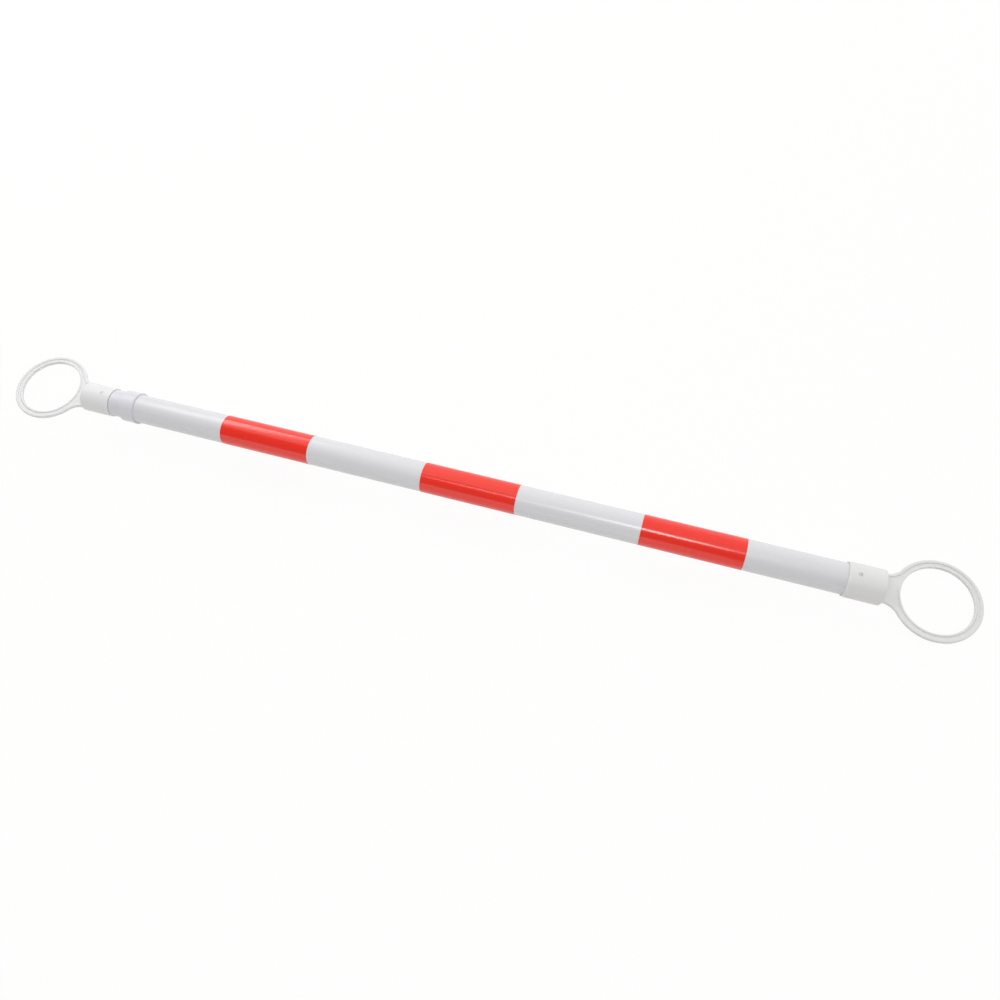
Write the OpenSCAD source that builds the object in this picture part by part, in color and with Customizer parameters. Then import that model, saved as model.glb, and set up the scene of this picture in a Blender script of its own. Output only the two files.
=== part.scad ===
// Retractable cone bar, pushed in. The tubes lie along X and the rings lie in the XY plane.
// The origin is on the tube axis, midway between the two rings. Sizes are in millimetres.

/* [Bar] */
// Distance between the ring centres when the bar is pushed in
ring_pitch = 1060; // [900:5:1300]
// Gap left between the sliding socket and the collar when the bar is pushed in
closing_gap = 0.3; // [0.2:0.1:3]

/* [Tubes] */
// Outside diameter of the outer tube
outer_tube_d = 34.5; // [30:0.5:42]
// Wall of the outer tube
outer_tube_wall = 1; // [0.8:0.1:2]
// Radial space between the outer and the inner tube
tube_gap = 1.5; // [1.2:0.1:3]
// Wall of the inner tube
inner_tube_wall = 1; // [0.8:0.1:2]

/* [Red bands] */
// Length of each red film along the tube
band_l = 112; // [60:1:180]
// Distance from one red film to the next, middle to middle
band_pitch = 252.5; // [190:0.5:270]
// Place of the middle film, from the middle of the bar towards the fixed end
band_shift = 25; // [-20:1:50]
// Thickness of the film
film_t = 0.15; // [0.05:0.05:0.5]
// Thickness of the glue under the film
glue_t = 0.02; // [0.01:0.01:0.1]

/* [Collar] */
// Length of the wide part
collar_l = 19.5; // [12:0.5:40]
// Wall of the wide part
collar_wall = 1.65; // [1.2:0.05:3]
// Thickness of the shoulder that the outer tube butts against
collar_shoulder_t = 3; // [2:0.1:6]
// Length of the narrow snout
snout_l = 15.5; // [8:0.5:30]
// Wall of the snout
snout_wall = 1.05; // [0.8:0.05:3]
// Length of the cone between the snout and the wide part
collar_cone_l = 1.6; // [0.5:0.1:3]
// Rounding of the collar's outer edges
collar_round = 0.5; // [0.2:0.1:0.7]
// Height of the bead round the open end
collar_bead_h = 0.35; // [0.1:0.05:0.6]
// Length of the bead round the open end
collar_bead_l = 3; // [2:0.1:6]

/* [Rings] */
// Diameter of the hole that drops over the top of a cone
hole_d = 73; // [50:0.5:90]
// Radial width of the ring, from the hole to the outside
ring_w = 8.5; // [7:0.1:14]
// Thickness of the ring at its two rims
ring_t = 4.3; // [4:0.1:8]
// Thickness of the web between the rims
web_t = 2; // [1.2:0.1:2.2]
// Width of the outer rim, which runs on along both edges of the neck
outer_rim_w = 3.4; // [2.8:0.1:3.8]
// Width of the inner rim round the hole
inner_rim_w = 2.1; // [1.8:0.1:2.6]
// Rounding of the outer rim's outside edges
outer_edge_round = 1.3; // [0.4:0.1:1.6]
// Rounding of the inner rim's edges at the hole
hole_edge_round = 0.8; // [0.3:0.1:1.1]
// Rounding of both rims' edges over the web
groove_round = 0.5; // [0.2:0.1:0.6]
// Radius of the hollow corner where a rim stands on the web
foot_r = 0.6; // [0.3:0.1:0.7]

/* [Necks] */
// Width of the neck where it meets the socket
neck_w = 33; // [26:0.5:40]
// Distance from the ring's centre to the shoulder of the socket
shoulder_reach = 54; // [50:0.5:70]
// Radius of the hollow corner where the neck's web meets the shoulder
root_foot_r = 1.6; // [0.5:0.1:1.6]

/* [Sockets] */
// Length of each socket, from the mouth to the shoulder
socket_l = 38.5; // [28:0.5:60]
// Wall of the fixed socket, round the outer tube
fixed_socket_wall = 1.9; // [1.3:0.05:3]
// Wall of the sliding socket, round the inner tube
sliding_socket_wall = 2.9; // [1.5:0.05:4]
// Thickness of the closed end that the tube butts against
socket_end_t = 3.5; // [3:0.1:6]
// Rounding of the shoulder
shoulder_round = 1.5; // [1:0.1:2.8]
// Drop of the bevel round the mouth
mouth_bevel_h = 0.5; // [0.2:0.1:0.7]
// Length of the bevel round the mouth
mouth_bevel_l = 3; // [1.5:0.1:5]
// Bevel inside the mouths and inside the open end of the collar, which leads the tube in
lead_in = 0.5; // [0.2:0.1:0.8]

/* [Screws] */
// Distance of each screw from the mouth of its socket
screw_from_mouth = 11; // [8:0.5:16]
// Diameter of the head
screw_head_d = 4.2; // [3:0.1:6]
// Height of the head
screw_head_h = 0.55; // [0.3:0.05:0.6]
// Depth of the pocket for the head, from the crest of the socket
screw_pocket = 0.65; // [0.6:0.05:0.8]
// Diameter of the shank
screw_shank_d = 2.6; // [1.6:0.1:2.8]
// Length of the shank that stands out inside the tube
screw_tip_l = 1.6; // [0.5:0.1:4]
// Width of the cross slot in the head
cross_slot_w = 0.6; // [0.3:0.1:0.9]
// Depth of the cross slot in the head
cross_slot_depth = 0.3; // [0.1:0.05:0.3]

/* [Stop bush] */
// Length of the sleeve over the end of the inner tube
bush_sleeve_l = 7; // [5:0.5:20]
// Length of the nose past the end of the inner tube
bush_nose_l = 7; // [7:0.5:14]
// Thickness of the flange at the free end of the nose
bush_flange_t = 1.5; // [1:0.1:2.5]
// Diameter of the air hole through the bush
bush_vent_d = 18; // [8:0.5:20]
// Distance from the bush to the shank of the fixed screw
bush_room = 1.2; // [1:0.1:10]
// Thickness of the rubber ring's cord
ring_cord_d = 3; // [2:0.1:3.2]
// Depth of the groove past the thickness of the rubber ring's cord
groove_room = 0.05; // [0.03:0.01:0.2]

/* [Fits] */
// Radial clearance of a tube in a part that is glued or screwed to it
seat_clearance = 0.05; // [0.02:0.01:0.1]
// Radial clearance of the inner tube in the snout
slide_clearance = 0.3; // [0.2:0.05:0.5]
// Radial clearance of the bush in the outer tube
bush_clearance = 0.3; // [0.2:0.05:0.5]
// Radial clearance of the rubber ring in the outer tube
grip_clearance = 0.05; // [0.03:0.01:0.2]
// Radial clearance of a screw in its hole and of its head in the pocket
screw_clearance = 0.05; // [0.02:0.01:0.2]
// Side clearance of the rubber ring in its groove
groove_side_room = 0.3; // [0.2:0.05:0.6]

/* [Hidden] */
$fn = 96;
// Overlap of shapes that are joined, and overshoot of cuts
eps = 0.5;

// Tube radii
outer_r = outer_tube_d / 2;
outer_bore_r = outer_r - outer_tube_wall;
inner_r = outer_bore_r - tube_gap;
inner_bore_r = inner_r - inner_tube_wall;

// Places along the bar, on the fixed side. The sliding side mirrors them.
ring_x = ring_pitch / 2;
shoulder_x = ring_x - shoulder_reach;
mouth_x = shoulder_x - socket_l;
seat_x = shoulder_x - socket_end_t;
screw_x = mouth_x + screw_from_mouth;

// Places of the collar, from its snout towards the fixed end
snout_x = -mouth_x + closing_gap;
collar_step_x = snout_x + snout_l;
collar_seat_x = collar_step_x + collar_shoulder_t;
collar_r = outer_r + seat_clearance + collar_wall;
snout_bore_r = inner_r + slide_clearance;
snout_r = snout_bore_r + snout_wall;

// The fixed screw keeps the bush, and with it the inner tube, from going further in
bush_end_x = screw_x - screw_shank_d / 2 - bush_room;
inner_end_x = bush_end_x - bush_nose_l;
bush_face_x = inner_end_x - bush_sleeve_l;
bush_r = outer_bore_r - bush_clearance;

// Rubber ring and its groove
cord_r = ring_cord_d / 2;
ring_mid_r = outer_bore_r - grip_clearance - cord_r;
groove_r = ring_mid_r - cord_r - groove_room;
groove_end_x = bush_end_x - bush_flange_t;
groove_l = ring_cord_d + 2 * groove_side_room;

// Ring, neck and socket radii
hole_r = hole_d / 2;
ring_r = hole_r + ring_w;
neck_half = neck_w / 2;
fixed_bore_r = outer_r + seat_clearance;
sliding_bore_r = inner_r + seat_clearance;
fixed_socket_r = fixed_bore_r + fixed_socket_wall;
sliding_socket_r = sliding_bore_r + sliding_socket_wall;
// The web ends inside the outer rim, further in on the neck so that the two outlines cross
ring_web_inset = outer_rim_w / 3;
neck_web_inset = outer_rim_w / 2;
// The neck runs on into the closed end of the socket
neck_root = socket_end_t / 2;
// The hollow edge of the neck leaves the socket along X and meets the ring as a tangent
hollow_r = (pow(shoulder_reach, 2) - pow(ring_r, 2) + pow(neck_half, 2))
    / (2 * (ring_r - neck_half));
hollow_y = neck_half + hollow_r;
hollow_angle = atan(hollow_y / shoulder_reach);
// The rim of the neck is a hair smaller than the ring's all round, and laps into its end by an angle
rim_step = 0.03;
rim_lap = 1;
// Angle at which a hollow corner meets its walls
foot_slope = 15;

// Turns a shape drawn upward from the XY plane so that it lies along +X from x
module along_x(x) {
    translate([x, 0, 0]) rotate([0, 90, 0]) children();
}

// Plain pipe along X between two places
module pipe(x0, x1, r_out, r_in) {
    along_x(x0) rotate_extrude() translate([r_in, 0]) square([r_out - r_in, x1 - x0]);
}

// Rectangle with rounded corners, from the origin
module rounded_bar(w, h, r) {
    translate([r, 0]) square([w - 2 * r, h]);
    translate([0, r]) square([w, h - 2 * r]);
    for (x = [r, w - r], y = [r, h - r]) translate([x, y]) circle(r);
}

// Hollow corner of radius r, from the origin along +X and +Y, which sinks into both walls.
// It meets them at a small slope instead of as a tangent, which keeps its edges clean.
module hollow_corner(r) {
    reach = r * cos(foot_slope);
    difference() {
        translate([-r / 2, -r / 2]) square(reach + r / 2);
        translate([reach, reach]) circle(r);
    }
}

// Rectangle from the origin, with two edges rounded at X = 0 and two at X = w
module rim_bar(w, h, edge_r, groove_r) {
    translate([edge_r, 0]) square([w - edge_r - groove_r, h]);
    translate([0, edge_r]) square([w - groove_r, h - 2 * edge_r]);
    translate([edge_r, groove_r]) square([w - edge_r, h - 2 * groove_r]);
    for (y = [edge_r, h - edge_r]) translate([edge_r, y]) circle(edge_r);
    for (y = [groove_r, h - groove_r]) translate([w - groove_r, y]) circle(groove_r);
}

// Section of a rim from the radius of its free edge, drawn in by step all round. It goes away from
// the axis where side is 1 and towards it where side is -1, and stands on the web at its far side.
module rim_section(r, w, side, edge_r, step = 0) {
    translate([r, 0]) scale([side, 1]) {
        translate([step, step - ring_t / 2])
            rim_bar(w - 2 * step, ring_t - 2 * step, edge_r - step, groove_round - step);
        for (z = [-1, 1]) translate([w - step, z * web_t / 2]) scale([1, z]) hollow_corner(foot_r);
    }
}

// Outline of the neck, drawn in by inset along its hollow edges
module neck_outline(inset) {
    difference() {
        polygon([[0, 0], [-shoulder_reach, -hollow_y], [-shoulder_reach, hollow_y]]);
        for (s = [-1, 1]) translate([-shoulder_reach, s * hollow_y]) circle(hollow_r + inset);
    }
    translate([-shoulder_reach - neck_root, inset - neck_half])
        square([neck_root + eps, neck_w - 2 * inset]);
}

// Flat web that fills the ring and the neck between their rims
module web() {
    linear_extrude(web_t, center = true) difference() {
        union() {
            circle(ring_r - ring_web_inset);
            neck_outline(neck_web_inset);
        }
        circle(hole_r + inner_rim_w / 2);
    }
}

// Hollow corner on each face, between the web of the neck and the shoulder of the socket
module neck_feet() {
    for (s = [0, 1]) mirror([0, 0, s])
        translate([-shoulder_reach, 0, web_t / 2]) rotate([90, 0, 0])
            linear_extrude(neck_w - 2 * outer_rim_w + foot_r, center = true) hollow_corner(root_foot_r);
}

// Outer rim: round the ring, along the hollow edge on each side and into the socket
module outer_rim() {
    rotate(hollow_angle - 180)
        rotate_extrude(angle = 360 - 2 * hollow_angle)
            rim_section(ring_r, outer_rim_w, -1, outer_edge_round);
    for (s = [0, 1]) mirror([0, s, 0]) {
        translate([-shoulder_reach, hollow_y, 0]) rotate(-90)
            rotate_extrude(angle = 90 - hollow_angle + rim_lap)
                rim_section(hollow_r, outer_rim_w, 1, outer_edge_round, rim_step);
        along_x(-shoulder_reach - neck_root) rotate(90)
            linear_extrude(neck_root)
                rim_section(neck_half, outer_rim_w, -1, outer_edge_round, rim_step);
    }
}

// Socket with a bevelled mouth, a closed end and a rounded shoulder
module socket(r_out, r_bore) {
    straight_l = socket_l - shoulder_round;
    along_x(-shoulder_reach - socket_l) rotate_extrude() difference() {
        union() {
            polygon([[0, 0], [r_out - mouth_bevel_h, 0], [r_out, mouth_bevel_l],
                [r_out, straight_l], [0, straight_l]]);
            square([r_out - shoulder_round, socket_l]);
            translate([r_out - shoulder_round, straight_l]) circle(shoulder_round);
        }
        square([r_bore, socket_l - socket_end_t]);
        polygon([[0, 0], [r_bore + lead_in, 0], [r_bore, lead_in], [0, lead_in]]);
    }
}

// Moulded ring end, with the ring's centre at the origin and the socket towards -X
module ring_end(socket_r, bore_r) {
    difference() {
        union() {
            web();
            neck_feet();
            rotate_extrude() rim_section(hole_r, inner_rim_w, 1, hole_edge_round);
            outer_rim();
            socket(socket_r, bore_r);
        }
        translate([screw_x - ring_x, 0, 0]) screw_space(socket_r);
    }
}

// Pocket and hole for a screw that goes in from +Z
module screw_space(socket_r) {
    cylinder(h = socket_r, r = screw_shank_d / 2 + screw_clearance);
    translate([0, 0, socket_r - screw_pocket])
        cylinder(h = screw_pocket + eps, r = screw_head_d / 2 + screw_clearance);
}

// Screw that goes in from +Z, with a domed head and a cross slot
module screw(socket_r, tube_bore_r) {
    seat_z = socket_r - screw_pocket;
    dome_r = (pow(screw_head_d / 2, 2) + pow(screw_head_h, 2)) / (2 * screw_head_h);
    difference() {
        union() {
            translate([0, 0, tube_bore_r - screw_tip_l])
                cylinder(h = seat_z - tube_bore_r + screw_tip_l + screw_head_h / 2, d = screw_shank_d);
            intersection() {
                translate([0, 0, seat_z]) cylinder(h = screw_head_h, d = screw_head_d);
                translate([0, 0, seat_z + screw_head_h - dome_r]) sphere(dome_r);
            }
        }
        for (a = [0, 90]) rotate(a)
            translate([-screw_shank_d / 2, -cross_slot_w / 2, seat_z + screw_head_h - cross_slot_depth])
                cube([screw_shank_d, cross_slot_w, cross_slot_depth + eps]);
    }
}

// White tube that carries the films, with a hole for the fixed screw
module outer_tube() {
    color("#dfdfe3") difference() {
        pipe(collar_seat_x, seat_x, outer_r, outer_bore_r);
        translate([screw_x, 0, 0]) screw_space(outer_r + screw_pocket + eps);
    }
}

// Red film round the outer tube, counted from the middle one
module red_band(place) {
    middle = band_shift + place * band_pitch;
    film_r = outer_r + glue_t;
    color("#d8281e") pipe(middle - band_l / 2, middle + band_l / 2, film_r + film_t, film_r);
}

module red_band_left() {
    red_band(-1);
}

module red_band_middle() {
    red_band(0);
}

module red_band_right() {
    red_band(1);
}

// Stepped collar: the wide part takes the outer tube and ends in a bead, the snout guides the inner tube
module collar() {
    whole_l = snout_l + collar_l;
    wide_y = snout_l + collar_cone_l - collar_round;
    bore_r = outer_r + seat_clearance;
    color("#e1e1e8") along_x(snout_x) rotate_extrude() difference() {
        union() {
            rounded_bar(snout_r, snout_l + collar_cone_l, collar_round);
            translate([0, snout_l])
                polygon([[0, 0], [snout_r, 0], [collar_r, collar_cone_l], [0, collar_cone_l]]);
            translate([0, wide_y])
                rounded_bar(collar_r, whole_l - wide_y - collar_bead_l / 2, collar_round);
            translate([0, whole_l - collar_bead_l])
                rounded_bar(collar_r + collar_bead_h, collar_bead_l, collar_round);
        }
        square([snout_bore_r, whole_l]);
        translate([0, snout_l + collar_shoulder_t]) square([bore_r, collar_l]);
        translate([0, whole_l - lead_in])
            polygon([[0, 0], [bore_r, 0], [bore_r + lead_in, lead_in], [0, lead_in]]);
    }
}

// Ring end on the outer tube
module fixed_ring_end() {
    color("#dcdcde") translate([ring_x, 0, 0]) ring_end(fixed_socket_r, fixed_bore_r);
}

module fixed_end_screw() {
    color("#b9babd") translate([screw_x, 0, 0]) screw(fixed_socket_r, outer_bore_r);
}

// White tube that slides inside the outer one, with a hole for the sliding screw
module inner_tube() {
    color("#e2e2e5") difference() {
        pipe(-seat_x, inner_end_x, inner_r, inner_bore_r);
        translate([-screw_x, 0, 0]) screw_space(inner_r + screw_pocket + eps);
    }
}

// Ring end on the inner tube
module sliding_ring_end() {
    color("#e0e0e3") mirror([1, 0, 0]) translate([ring_x, 0, 0])
        ring_end(sliding_socket_r, sliding_bore_r);
}

module sliding_end_screw() {
    color("#b9babd") translate([-screw_x, 0, 0]) screw(sliding_socket_r, inner_bore_r);
}

// Bush on the inner end of the inner tube: its sleeve stops at the collar when the bar is drawn out
module stop_bush() {
    sleeve_bore_r = inner_r + seat_clearance;
    color("#4a4c50") along_x(bush_face_x) rotate_extrude() difference() {
        square([bush_r, bush_sleeve_l + bush_nose_l]);
        square([sleeve_bore_r, bush_sleeve_l]);
        square([bush_vent_d / 2, bush_sleeve_l + bush_nose_l]);
        translate([groove_r, groove_end_x - groove_l - bush_face_x]) square([bush_r, groove_l]);
    }
}

// Rubber ring in the groove of the bush
module friction_ring() {
    color("#202124") along_x(groove_end_x - groove_l / 2)
        rotate_extrude() translate([ring_mid_r, 0]) circle(cord_r);
}

outer_tube();
red_band_left();
red_band_middle();
red_band_right();
collar();
fixed_ring_end();
fixed_end_screw();
inner_tube();
sliding_ring_end();
sliding_end_screw();
stop_bush();
friction_ring();
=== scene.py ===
import math

import bmesh
import bpy
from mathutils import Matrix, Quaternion, Vector


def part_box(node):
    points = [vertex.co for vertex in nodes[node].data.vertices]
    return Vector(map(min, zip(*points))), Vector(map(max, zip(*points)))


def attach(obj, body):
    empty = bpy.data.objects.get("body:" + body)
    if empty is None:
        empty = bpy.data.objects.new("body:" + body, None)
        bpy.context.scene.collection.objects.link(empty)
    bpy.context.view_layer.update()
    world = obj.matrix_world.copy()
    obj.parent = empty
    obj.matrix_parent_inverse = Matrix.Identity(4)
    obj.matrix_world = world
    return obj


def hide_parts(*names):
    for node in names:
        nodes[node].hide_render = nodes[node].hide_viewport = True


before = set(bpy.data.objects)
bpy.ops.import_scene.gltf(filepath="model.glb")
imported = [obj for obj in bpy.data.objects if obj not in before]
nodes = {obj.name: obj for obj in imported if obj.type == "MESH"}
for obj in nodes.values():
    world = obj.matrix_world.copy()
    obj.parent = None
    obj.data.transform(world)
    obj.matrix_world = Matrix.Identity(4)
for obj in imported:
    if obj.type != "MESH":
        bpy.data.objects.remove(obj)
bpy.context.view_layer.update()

# Camera: it looks down from in front of the bar, over the fixed end, through a short lens,
# so the fixed ring on the right comes out larger than the sliding ring on the left.
camera_place = Vector((0.23559, -0.39792, 0.84951))
camera_aim = Vector((0.06135, -0.00553, 0.0))
camera_roll = math.radians(-7.98)
camera_lens = bpy.data.cameras.new("camera")
camera_lens.lens = 30.409
camera_lens.sensor_width = 36.0
camera = bpy.data.objects.new("camera", camera_lens)
camera.location = camera_place
camera.rotation_mode = "QUATERNION"
aim_turn = (camera_aim - camera_place).to_track_quat("-Z", "Y")
camera.rotation_quaternion = aim_turn @ Quaternion((0, 0, 1), camera_roll)
bpy.context.scene.collection.objects.link(camera)
bpy.context.scene.camera = camera
bpy.context.scene.view_settings.view_transform = "Standard"

# Floor and room: a wide matt white sheet, far enough below the bar for a ring end to turn right
# round. To the eye and in reflections it goes over into plain white, and it keeps a soft shadow.
# The room beyond it is white to the eye alone.
floor_half = 30.0
floor_clear = 0.001
floor_white = (0.94, 0.92, 0.87, 1)
plain_white = (1, 1, 1, 1)
near_reach = 0.9
far_reach = 1.8
near_glow = 0.94
full_glow = 1.0
room_light = 0.30


def put(tree, kind, inputs=None, **settings):
    """Adds a shader node. An input is given a value, or a socket to link from."""
    node = tree.nodes.new("ShaderNode" + kind)
    for name, value in settings.items():
        setattr(node, name, value)
    for name, value in (inputs or {}).items():
        if isinstance(value, bpy.types.NodeSocket):
            tree.links.new(value, node.inputs[name])
        else:
            node.inputs[name].default_value = value
    return node


def new_material(name):
    """An empty node material, with its output node."""
    material = bpy.data.materials.new(name)
    material.use_nodes = True
    material.node_tree.nodes.clear()
    return material, material.node_tree, put(material.node_tree, "OutputMaterial")


ring_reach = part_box("fixed_ring_end")[1][1]
floor_z = -ring_reach - floor_clear
floor_mesh = bpy.data.meshes.new("floor")
floor_mesh.from_pydata([(-floor_half, -floor_half, floor_z), (floor_half, -floor_half, floor_z),
                        (floor_half, floor_half, floor_z), (-floor_half, floor_half, floor_z)],
                       [], [(0, 1, 2, 3)])
floor = bpy.data.objects.new("floor", floor_mesh)
bpy.context.scene.collection.objects.link(floor)

floor_material, tree, out = new_material("white_sheet")
sheet = put(tree, "BsdfDiffuse", {"Color": floor_white})
glow = put(tree, "Emission", {"Color": plain_white, "Strength": full_glow})
rays = put(tree, "LightPath").outputs
mirrored = put(tree, "Math", {0: rays["Is Glossy Ray"], 1: rays["Is Transmission Ray"]},
               operation="MAXIMUM")
seen = put(tree, "Math", {0: rays["Is Camera Ray"], 1: mirrored.outputs[0]}, operation="MAXIMUM")
away = put(tree, "VectorMath", {0: put(tree, "NewGeometry").outputs["Position"]}, operation="LENGTH")
level = put(tree, "MapRange", {"Value": away.outputs["Value"], "From Min": near_reach,
                               "From Max": far_reach, "To Min": near_glow, "To Max": full_glow})
share = put(tree, "Math", {0: seen.outputs[0], 1: level.outputs[0]}, operation="MULTIPLY")
lit = put(tree, "MixShader", {0: share.outputs[0], 1: sheet.outputs[0], 2: glow.outputs[0]})
below = put(tree, "NewGeometry").outputs["Backfacing"]
clear = put(tree, "BsdfTransparent")
sheet_or_clear = put(tree, "MixShader", {0: below, 1: lit.outputs[0], 2: clear.outputs[0]})
tree.links.new(sheet_or_clear.outputs[0], out.inputs["Surface"])
floor_material.cycles.emission_sampling = "NONE"
floor_mesh.materials.append(floor_material)

world = bpy.data.worlds.new("room")
world.use_nodes = True
tree = world.node_tree
tree.nodes.clear()
to_eye = put(tree, "LightPath").outputs["Is Camera Ray"]
room_level = put(tree, "MapRange", {"Value": to_eye, "To Min": room_light, "To Max": full_glow})
room_glow = put(tree, "Background", {"Color": plain_white, "Strength": room_level.outputs[0]})
put(tree, "OutputWorld", {"Surface": room_glow.outputs[0]})
bpy.context.scene.world = world

# Lights: a soft ceiling, brighter to the left, a rear wall, a right wall and a low white board in
# front. A window at the rear left and a lamp in a strip draw the bright lines along the films.
ceiling_z = 1.60
lamp_z = 1.50
wall_z = 0.78
board_z = 0.28
ceiling_warmth = (1.0, 0.975, 0.93)
white_panel_power = 4.0


def soft_panel(name, middle, size, radiance, tilt=0, turn=0, tint=(1, 1, 1)):
    """A flat lamp that shines down. A tilt of 90 degrees turns it to the rear, a turn of 90
    degrees to the left. Radiance 1 is white, and takes the white panel's power per square metre."""
    lamp = bpy.data.lights.new(name, "AREA")
    lamp.color = tint
    lamp.shape = "RECTANGLE"
    lamp.size, lamp.size_y = size
    lamp.energy = white_panel_power * size[0] * size[1] * radiance
    panel = bpy.data.objects.new(name, lamp)
    panel.location = middle
    panel.rotation_euler = (math.radians(tilt), math.radians(turn), 0)
    panel.visible_camera = False
    bpy.context.scene.collection.objects.link(panel)


soft_panel("ceiling_right", (1.20, 1.35, ceiling_z), (2.60, 3.40), 0.46)
soft_panel("ceiling_left", (-1.40, 1.45, ceiling_z), (2.60, 3.20), 0.75, tint=ceiling_warmth)
soft_panel("rear_wall", (0.0, 3.05, wall_z), (5.20, 1.60), 0.62, tilt=-90)
soft_panel("right_wall", (2.60, 0.60, wall_z), (1.60, 4.00), 0.64, turn=90)
soft_panel("front_board", (-0.85, -2.20, board_z), (2.80, 0.62), 0.70, tilt=90)
soft_panel("rear_window", (-1.37, 1.275, lamp_z), (0.52, 1.65), 3.3)
soft_panel("front_strip", (0.0, -0.52, lamp_z), (0.92, 0.16), 3.9)
soft_panel("front_lamp", (0.22, -0.52, lamp_z), (0.26, 0.22), 18.5)

# Outer tube: the long white tube in the middle of the bar. It is extruded plastic, smooth and
# glossy, with faint lines drawn along it by the die.
fine_line_scale = (2.0, 420.0, 420.0)
broad_line_scale = (6.0, 45.0, 45.0)
mark_scale = (60.0, 700.0, 700.0)
mark_from = 0.64
mark_full = 0.72
patch_scale = (30.0, 30.0, 30.0)
patch_from = 0.5
patch_full = 0.65
die_line_depth = 6e-6


def new_group(name, inputs, outputs):
    """A shader node group with number inputs, given with their defaults, and number outputs."""
    group = bpy.data.node_groups.new(name, "ShaderNodeTree")
    for socket, value in inputs.items():
        made = group.interface.new_socket(socket, in_out="INPUT", socket_type="NodeSocketFloat")
        made.default_value = value
    for socket in outputs:
        group.interface.new_socket(socket, in_out="OUTPUT", socket_type="NodeSocketFloat")
    start = group.nodes.new("NodeGroupInput").outputs
    end = group.nodes.new("NodeGroupOutput").inputs
    return group, start, end


def use_group(tree, group, **values):
    """Places a node group in a material and sets its inputs."""
    node = put(tree, "Group")
    node.node_tree = group
    for name, value in values.items():
        node.inputs[name].default_value = value
    return node.outputs


def scaled_place(tree, scale=(1.0, 1.0, 1.0)):
    """Places on the piece, in metres, multiplied by a scale along each axis."""
    place = put(tree, "TexCoord").outputs["Object"]
    return put(tree, "VectorMath", {0: place, 1: scale}, operation="MULTIPLY").outputs[0]


drawn_lines, start, end = new_group("drawn_lines", {"Fineness": 1.0}, ("Tone", "Height"))
fine = put(drawn_lines, "TexNoise", {"Vector": scaled_place(drawn_lines, fine_line_scale),
                                     "Scale": start["Fineness"], "Detail": 4.0})
broad = put(drawn_lines, "TexNoise", {"Vector": scaled_place(drawn_lines, broad_line_scale),
                                      "Scale": 1.0, "Detail": 3.0})
drawn_lines.links.new(fine.outputs[0], end["Height"])
drawn_lines.links.new(broad.outputs[0], end["Tone"])

scuffs, start, end = new_group("scuffs", {"Amount": 0.5, "Length": 1.0}, ("Mask",))
mark_place = put(scuffs, "VectorMath", {0: scaled_place(scuffs, mark_scale), "Scale": start["Length"]},
                 operation="SCALE")
marks = put(scuffs, "TexNoise", {"Vector": mark_place.outputs[0], "Scale": 1.0, "Detail": 2.0})
mark_lines = put(scuffs, "MapRange", {"Value": marks.outputs[0], "From Min": mark_from,
                                      "From Max": mark_full})
patch = put(scuffs, "TexNoise", {"Vector": scaled_place(scuffs, patch_scale), "Scale": 1.0,
                                 "Detail": 2.0})
patches = put(scuffs, "MapRange", {"Value": patch.outputs[0], "From Min": patch_from,
                                   "From Max": patch_full})
in_patches = put(scuffs, "Math", {0: mark_lines.outputs[0], 1: patches.outputs[0]},
                 operation="MULTIPLY")
amount = put(scuffs, "Math", {0: in_patches.outputs[0], 1: start["Amount"]}, operation="MULTIPLY")
scuffs.links.new(amount.outputs[0], end["Mask"])


def mix_colour(tree, share, first, second):
    """A colour that goes from the first to the second with the share. The mix node's colour
    sockets are known by their numbers, because other sockets of it have the same names."""
    return put(tree, "Mix", {0: share, 6: first, 7: second}, data_type="RGBA").outputs[2]


def ramp(tree, share, low, high):
    """A value that goes from low to high with the share."""
    return put(tree, "MapRange", {"Value": share, "To Min": low, "To Max": high}).outputs[0]


def bump(tree, height, depth):
    """A normal from a height, with the depth of the relief in metres."""
    return put(tree, "Bump", {"Height": height, "Strength": 1.0, "Distance": depth}).outputs[0]


def plastic(name, relief, fineness, depth, tones, roughness, ior=1.5,
            mark_tone=None, mark_amount=0.5, mark_length=1.0):
    """A plastic between two tones and two roughnesses, on the relief of a node group. With a
    mark tone it is scuffed."""
    material, tree, out = new_material(name)
    surface = use_group(tree, relief, Fineness=fineness)
    colour = mix_colour(tree, surface["Tone"], *tones)
    rough = ramp(tree, surface["Tone"], *roughness)
    if mark_tone:
        worn = use_group(tree, scuffs, Amount=mark_amount, Length=mark_length)["Mask"]
        colour = mix_colour(tree, worn, colour, mark_tone)
        rough = put(tree, "Math", {0: rough, 1: worn}, operation="ADD").outputs[0]
    skin = put(tree, "BsdfPrincipled", {"Base Color": colour, "Roughness": rough, "IOR": ior,
                                        "Normal": bump(tree, surface["Height"], depth)})
    tree.links.new(skin.outputs[0], out.inputs["Surface"])
    return material


tube_white = plastic("extruded_white", drawn_lines, fineness=1.0, depth=die_line_depth,
                     tones=((0.71, 0.71, 0.745, 1), (0.685, 0.685, 0.712, 1)), roughness=(0.21, 0.31),
                     mark_tone=(0.55, 0.55, 0.56, 1), mark_amount=0.5, mark_length=1.0)
nodes["outer_tube"].material_slots[0].material = tube_white

# Red films: three strips of glossy self-adhesive film, wound once round the outer tube.
# Each is cut a little longer than the way round, and its end is stuck down over its start.
film_t = 0.00015
film_lap = 0.009
film_rise = 0.003
film_bevel = 0.00004
film_steps = 240
film_start = math.radians(-70)
film_crease = math.radians(30)
film_cloud_scale = 38.0


def film_radius(angle, inside, rise_angle):
    """Radius of the film's inner face: it climbs onto its own start at the end of the turn."""
    climb = (angle - (2 * math.pi - rise_angle)) / rise_angle
    climb = min(max(climb, 0.0), 1.0)
    return inside + film_t * climb * climb * (3 - 2 * climb)


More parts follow.
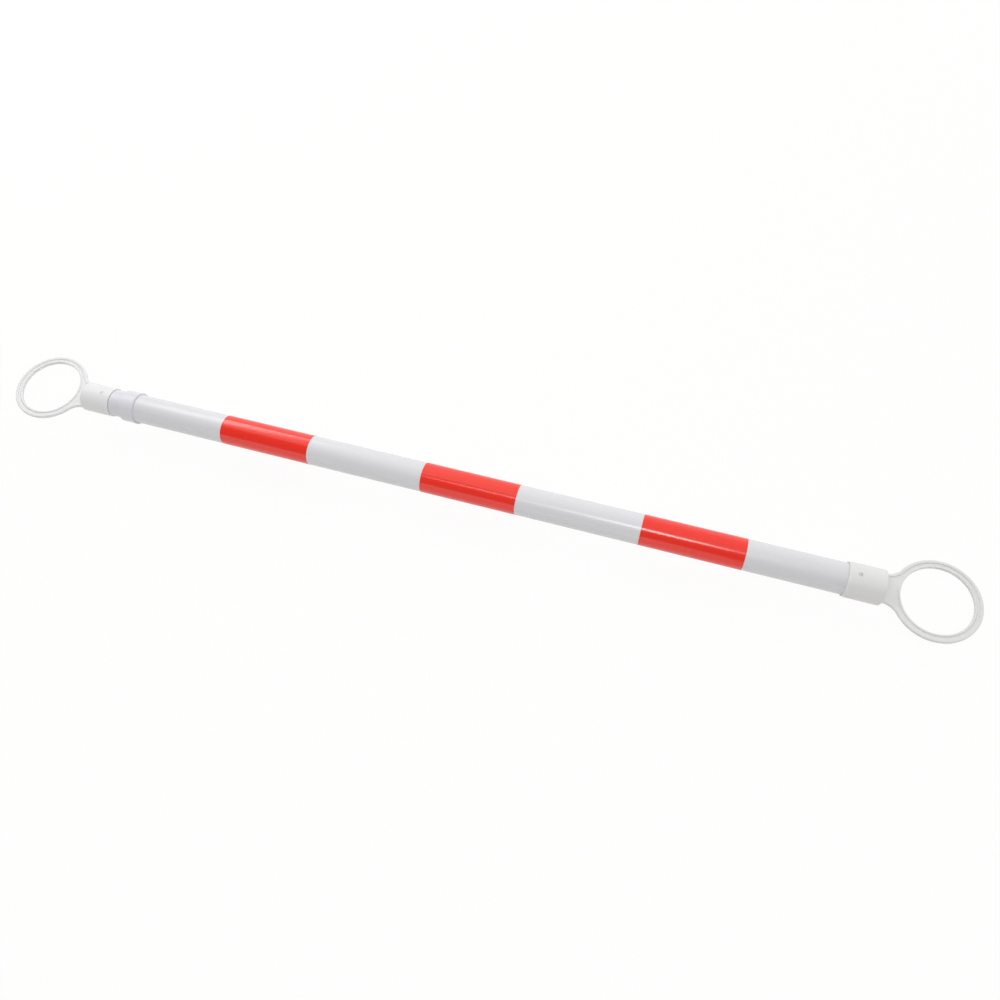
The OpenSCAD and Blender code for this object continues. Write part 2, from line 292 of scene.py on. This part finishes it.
def join_outlines(work, here, there):
    """Faces between two closed outlines with the same number of corners."""
    for corner in range(len(here)):
        after = (corner + 1) % len(here)
        work.faces.new((here[corner], here[after], there[after], there[corner]))


def smooth_piece(name, work):
    """Makes a smooth piece of a closed work mesh, and puts it in the scene."""
    bmesh.ops.recalc_face_normals(work, faces=work.faces)
    mesh = bpy.data.meshes.new(name)
    work.to_mesh(mesh)
    work.free()
    mesh.shade_smooth()
    piece = bpy.data.objects.new(name, mesh)
    bpy.context.scene.collection.objects.link(piece)
    return piece


def wound_film(name, low, high):
    """One film between two corners of its box."""
    inside = high[2] - film_t
    turn = 2 * math.pi + film_lap / inside
    rise_angle = film_rise / inside
    outline = ((low[0] + film_bevel, 0), (low[0], 0), (low[0], film_t - film_bevel),
               (low[0] + film_bevel, film_t), (high[0] - film_bevel, film_t),
               (high[0], film_t - film_bevel), (high[0], 0), (high[0] - film_bevel, 0))
    work = bmesh.new()
    outlines = []
    for step in range(film_steps + 1):
        angle = turn * step / film_steps
        radius = film_radius(angle, inside, rise_angle)
        side = film_start + angle
        outlines.append([work.verts.new((x, (radius + up) * math.cos(side),
                                         (radius + up) * math.sin(side)))
                         for x, up in outline])
    for here, there in zip(outlines, outlines[1:]):
        join_outlines(work, here, there)
    work.faces.new(outlines[0])
    work.faces.new(reversed(outlines[-1]))
    piece = smooth_piece(name, work)
    piece.data.set_sharp_from_angle(angle=film_crease)
    return piece


film_face, start, end = new_group("film_face", {"Fineness": 5200.0}, ("Tone", "Height"))
place = scaled_place(film_face)
beads = put(film_face, "TexVoronoi", {"Vector": place, "Scale": start["Fineness"]})
cloud = put(film_face, "TexNoise", {"Vector": place, "Scale": film_cloud_scale, "Detail": 4.0})
film_face.links.new(beads.outputs["Distance"], end["Height"])
film_face.links.new(cloud.outputs[0], end["Tone"])

red_film = plastic("red_film", film_face, fineness=5200.0, depth=1.5e-6,
                   tones=((0.90, 0.022, 0.006, 1), (0.85, 0.018, 0.005, 1)), roughness=(0.16, 0.22),
                   ior=1.62, mark_tone=(0.80, 0.10, 0.08, 1), mark_amount=0.4, mark_length=1.3)

for band in ("red_band_left", "red_band_middle", "red_band_right"):
    film = wound_film(band.replace("band", "film"), *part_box(band))
    film.data.materials.append(red_film)
    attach(film, "outer")
    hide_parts(band)

# Collar: a stepped white moulding on the open end of the outer tube. Its wide part is glued over
# the tube, with a thin line of dried glue at its edge, and its narrow snout guides the inner tube.
# The glue's pale tone is painted light: it lifts the shade in the seam at the collar's edge.
flow_scale = 42.0
moulded_depth = 8e-6
glue_l = 0.0005
glue_h = 0.0004
glue_shares = ((1.0, 0.0), (1.0, 1.0), (0.6, 0.9), (0.2, 0.45), (0.0, 0.0))

moulded_skin, start, end = new_group("moulded_skin", {"Fineness": 900.0}, ("Tone", "Height"))
place = scaled_place(moulded_skin)
peel = put(moulded_skin, "TexNoise", {"Vector": place, "Scale": start["Fineness"], "Detail": 2.0})
flow = put(moulded_skin, "TexNoise", {"Vector": place, "Scale": flow_scale, "Detail": 3.0})
moulded_skin.links.new(peel.outputs[0], end["Height"])
moulded_skin.links.new(flow.outputs[0], end["Tone"])

collar_white = plastic("moulded_blue_white", moulded_skin, fineness=1400.0, depth=moulded_depth,
                       tones=((0.705, 0.707, 0.772, 1), (0.677, 0.679, 0.733, 1)),
                       roughness=(0.24, 0.34),
                       mark_tone=(0.50, 0.50, 0.52, 1), mark_amount=0.6, mark_length=1.0)
nodes["collar"].material_slots[0].material = collar_white


def lathe(name, profile, steps=128):
    """A closed profile of (x, radius) points, turned round the X axis."""
    work = bmesh.new()
    outlines = []
    for step in range(steps):
        angle = 2 * math.pi * step / steps
        outlines.append([work.verts.new((x, radius * math.cos(angle), radius * math.sin(angle)))
                         for x, radius in profile])
    for here, there in zip(outlines, outlines[1:] + outlines[:1]):
        join_outlines(work, here, there)
    return smooth_piece(name, work)


collar_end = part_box("collar")[1][0]
tube_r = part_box("outer_tube")[1][2]
glue_profile = [(collar_end - back * glue_l, tube_r + up * glue_h) for back, up in glue_shares]
glue = lathe("collar_glue", glue_profile)
# The glue is pale as painted light, to lighten the shaded seam at the collar's end.
glue_with_painted_light = plastic("glue_with_painted_light", moulded_skin, fineness=700.0, depth=3e-5,
                     tones=((0.78, 0.775, 0.76, 1), (0.72, 0.715, 0.70, 1)), roughness=(0.15, 0.30),
                     ior=1.45)
glue.data.materials.append(glue_with_painted_light)
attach(glue, "outer")

# Ring ends: one moulding each, with an open ring between two rims, a hollow-sided neck and a
# socket. They are satin white plastic, and the halves of the mould leave a thin line all round.
# The sliding end's lighter, bluer tone is painted light, for the brighter, cooler light on it.
mould_line_w = 1.6e-4
mould_line_h = 1e-4

mould_line, start, end = new_group("mould_line", {"Width": mould_line_w}, ("Height",))
up = put(mould_line, "SeparateXYZ", {0: scaled_place(mould_line)}).outputs["Z"]
off = put(mould_line, "Math", {0: up}, operation="ABSOLUTE")
near = put(mould_line, "MapRange", {"Value": off.outputs[0], "From Min": start["Width"],
                                    "From Max": 0.0}, interpolation_type="SMOOTHSTEP")
mould_line.links.new(near.outputs[0], end["Height"])


def ring_end_white(name, tones, ior):
    """A satin white between two tones, lightly scuffed, with the line of the mould at Z = 0."""
    material = plastic(name, moulded_skin, fineness=1100.0, depth=moulded_depth, tones=tones,
                       roughness=(0.34, 0.46), ior=ior,
                       mark_tone=(0.55, 0.55, 0.55, 1), mark_amount=0.2, mark_length=0.8)
    tree = material.node_tree
    skin_normal = tree.nodes["Principled BSDF"].inputs["Normal"]
    line = use_group(tree, mould_line, Width=mould_line_w)
    raised = put(tree, "Bump", {"Height": line["Height"], "Strength": 1.0, "Distance": mould_line_h,
                                "Normal": skin_normal.links[0].from_socket})
    tree.links.new(raised.outputs[0], skin_normal)
    return material


warm_white = ring_end_white("moulded_warm_white", ior=1.5,
                            tones=((0.757, 0.757, 0.752, 1), (0.728, 0.728, 0.722, 1)))
# Same plastic as the fixed end: its lighter, bluer tone is painted light.
white_with_painted_light = ring_end_white("moulded_cool_white", ior=1.4,
                            tones=((0.795, 0.795, 0.81, 1), (0.77, 0.77, 0.782, 1)))
nodes["fixed_ring_end"].material_slots[0].material = warm_white
nodes["sliding_ring_end"].material_slots[0].material = white_with_painted_light

# End screws: small steel screws with a domed head and a cross slot, each through a socket into its
# tube. The one in the fixed socket is plated, the other is painted white.
screw_grain_scale = 2600.0
screw_grain_depth = 1e-5
screw_roughness = (0.45, 0.65)


def screw_steel(name, tones, metal):
    """Satin steel between two tones, with the grain of its plating or paint."""
    material, tree, out = new_material(name)
    grain = put(tree, "TexNoise", {"Vector": scaled_place(tree), "Scale": screw_grain_scale,
                                   "Detail": 4.0}).outputs[0]
    skin = put(tree, "BsdfPrincipled", {"Base Color": mix_colour(tree, grain, *tones),
                                        "Metallic": metal,
                                        "Roughness": ramp(tree, grain, *screw_roughness),
                                        "Normal": bump(tree, grain, screw_grain_depth)})
    tree.links.new(skin.outputs[0], out.inputs["Surface"])
    return material


plated = screw_steel("plated_steel", metal=0.5, tones=((0.70, 0.70, 0.71, 1), (0.58, 0.58, 0.59, 1)))
painted = screw_steel("painted_steel", metal=0.0, tones=((0.80, 0.80, 0.79, 1), (0.72, 0.72, 0.71, 1)))
nodes["fixed_end_screw"].material_slots[0].material = plated
nodes["sliding_end_screw"].material_slots[0].material = painted

# Inner tube: the thinner white tube that draws out of the collar. It is extruded like the outer
# one, and the snout has polished faint rub marks along it.
rubbed_white = plastic("rubbed_white", drawn_lines, fineness=1.2, depth=die_line_depth,
                       tones=((0.72, 0.72, 0.74, 1), (0.69, 0.69, 0.70, 1)), roughness=(0.18, 0.28),
                       mark_tone=(0.52, 0.52, 0.52, 1), mark_amount=0.8, mark_length=0.5)
nodes["inner_tube"].material_slots[0].material = rubbed_white

# Stop bush: a turned dark nylon bush on the inner end of the inner tube, which runs in the outer
# tube and stops at the collar.
dark_nylon = plastic("dark_nylon", moulded_skin, fineness=1800.0, depth=1e-5,
                     tones=((0.060, 0.062, 0.068, 1), (0.085, 0.087, 0.092, 1)), roughness=(0.40, 0.55))
nodes["stop_bush"].material_slots[0].material = dark_nylon

# Friction ring: a black rubber ring in the groove of the bush. It rubs on the outer tube and
# holds the length that is set.
black_rubber = plastic("black_rubber", moulded_skin, fineness=3000.0, depth=1e-5,
                       tones=((0.018, 0.018, 0.019, 1), (0.030, 0.030, 0.031, 1)),
                       roughness=(0.60, 0.80))
nodes["friction_ring"].material_slots[0].material = black_rubber
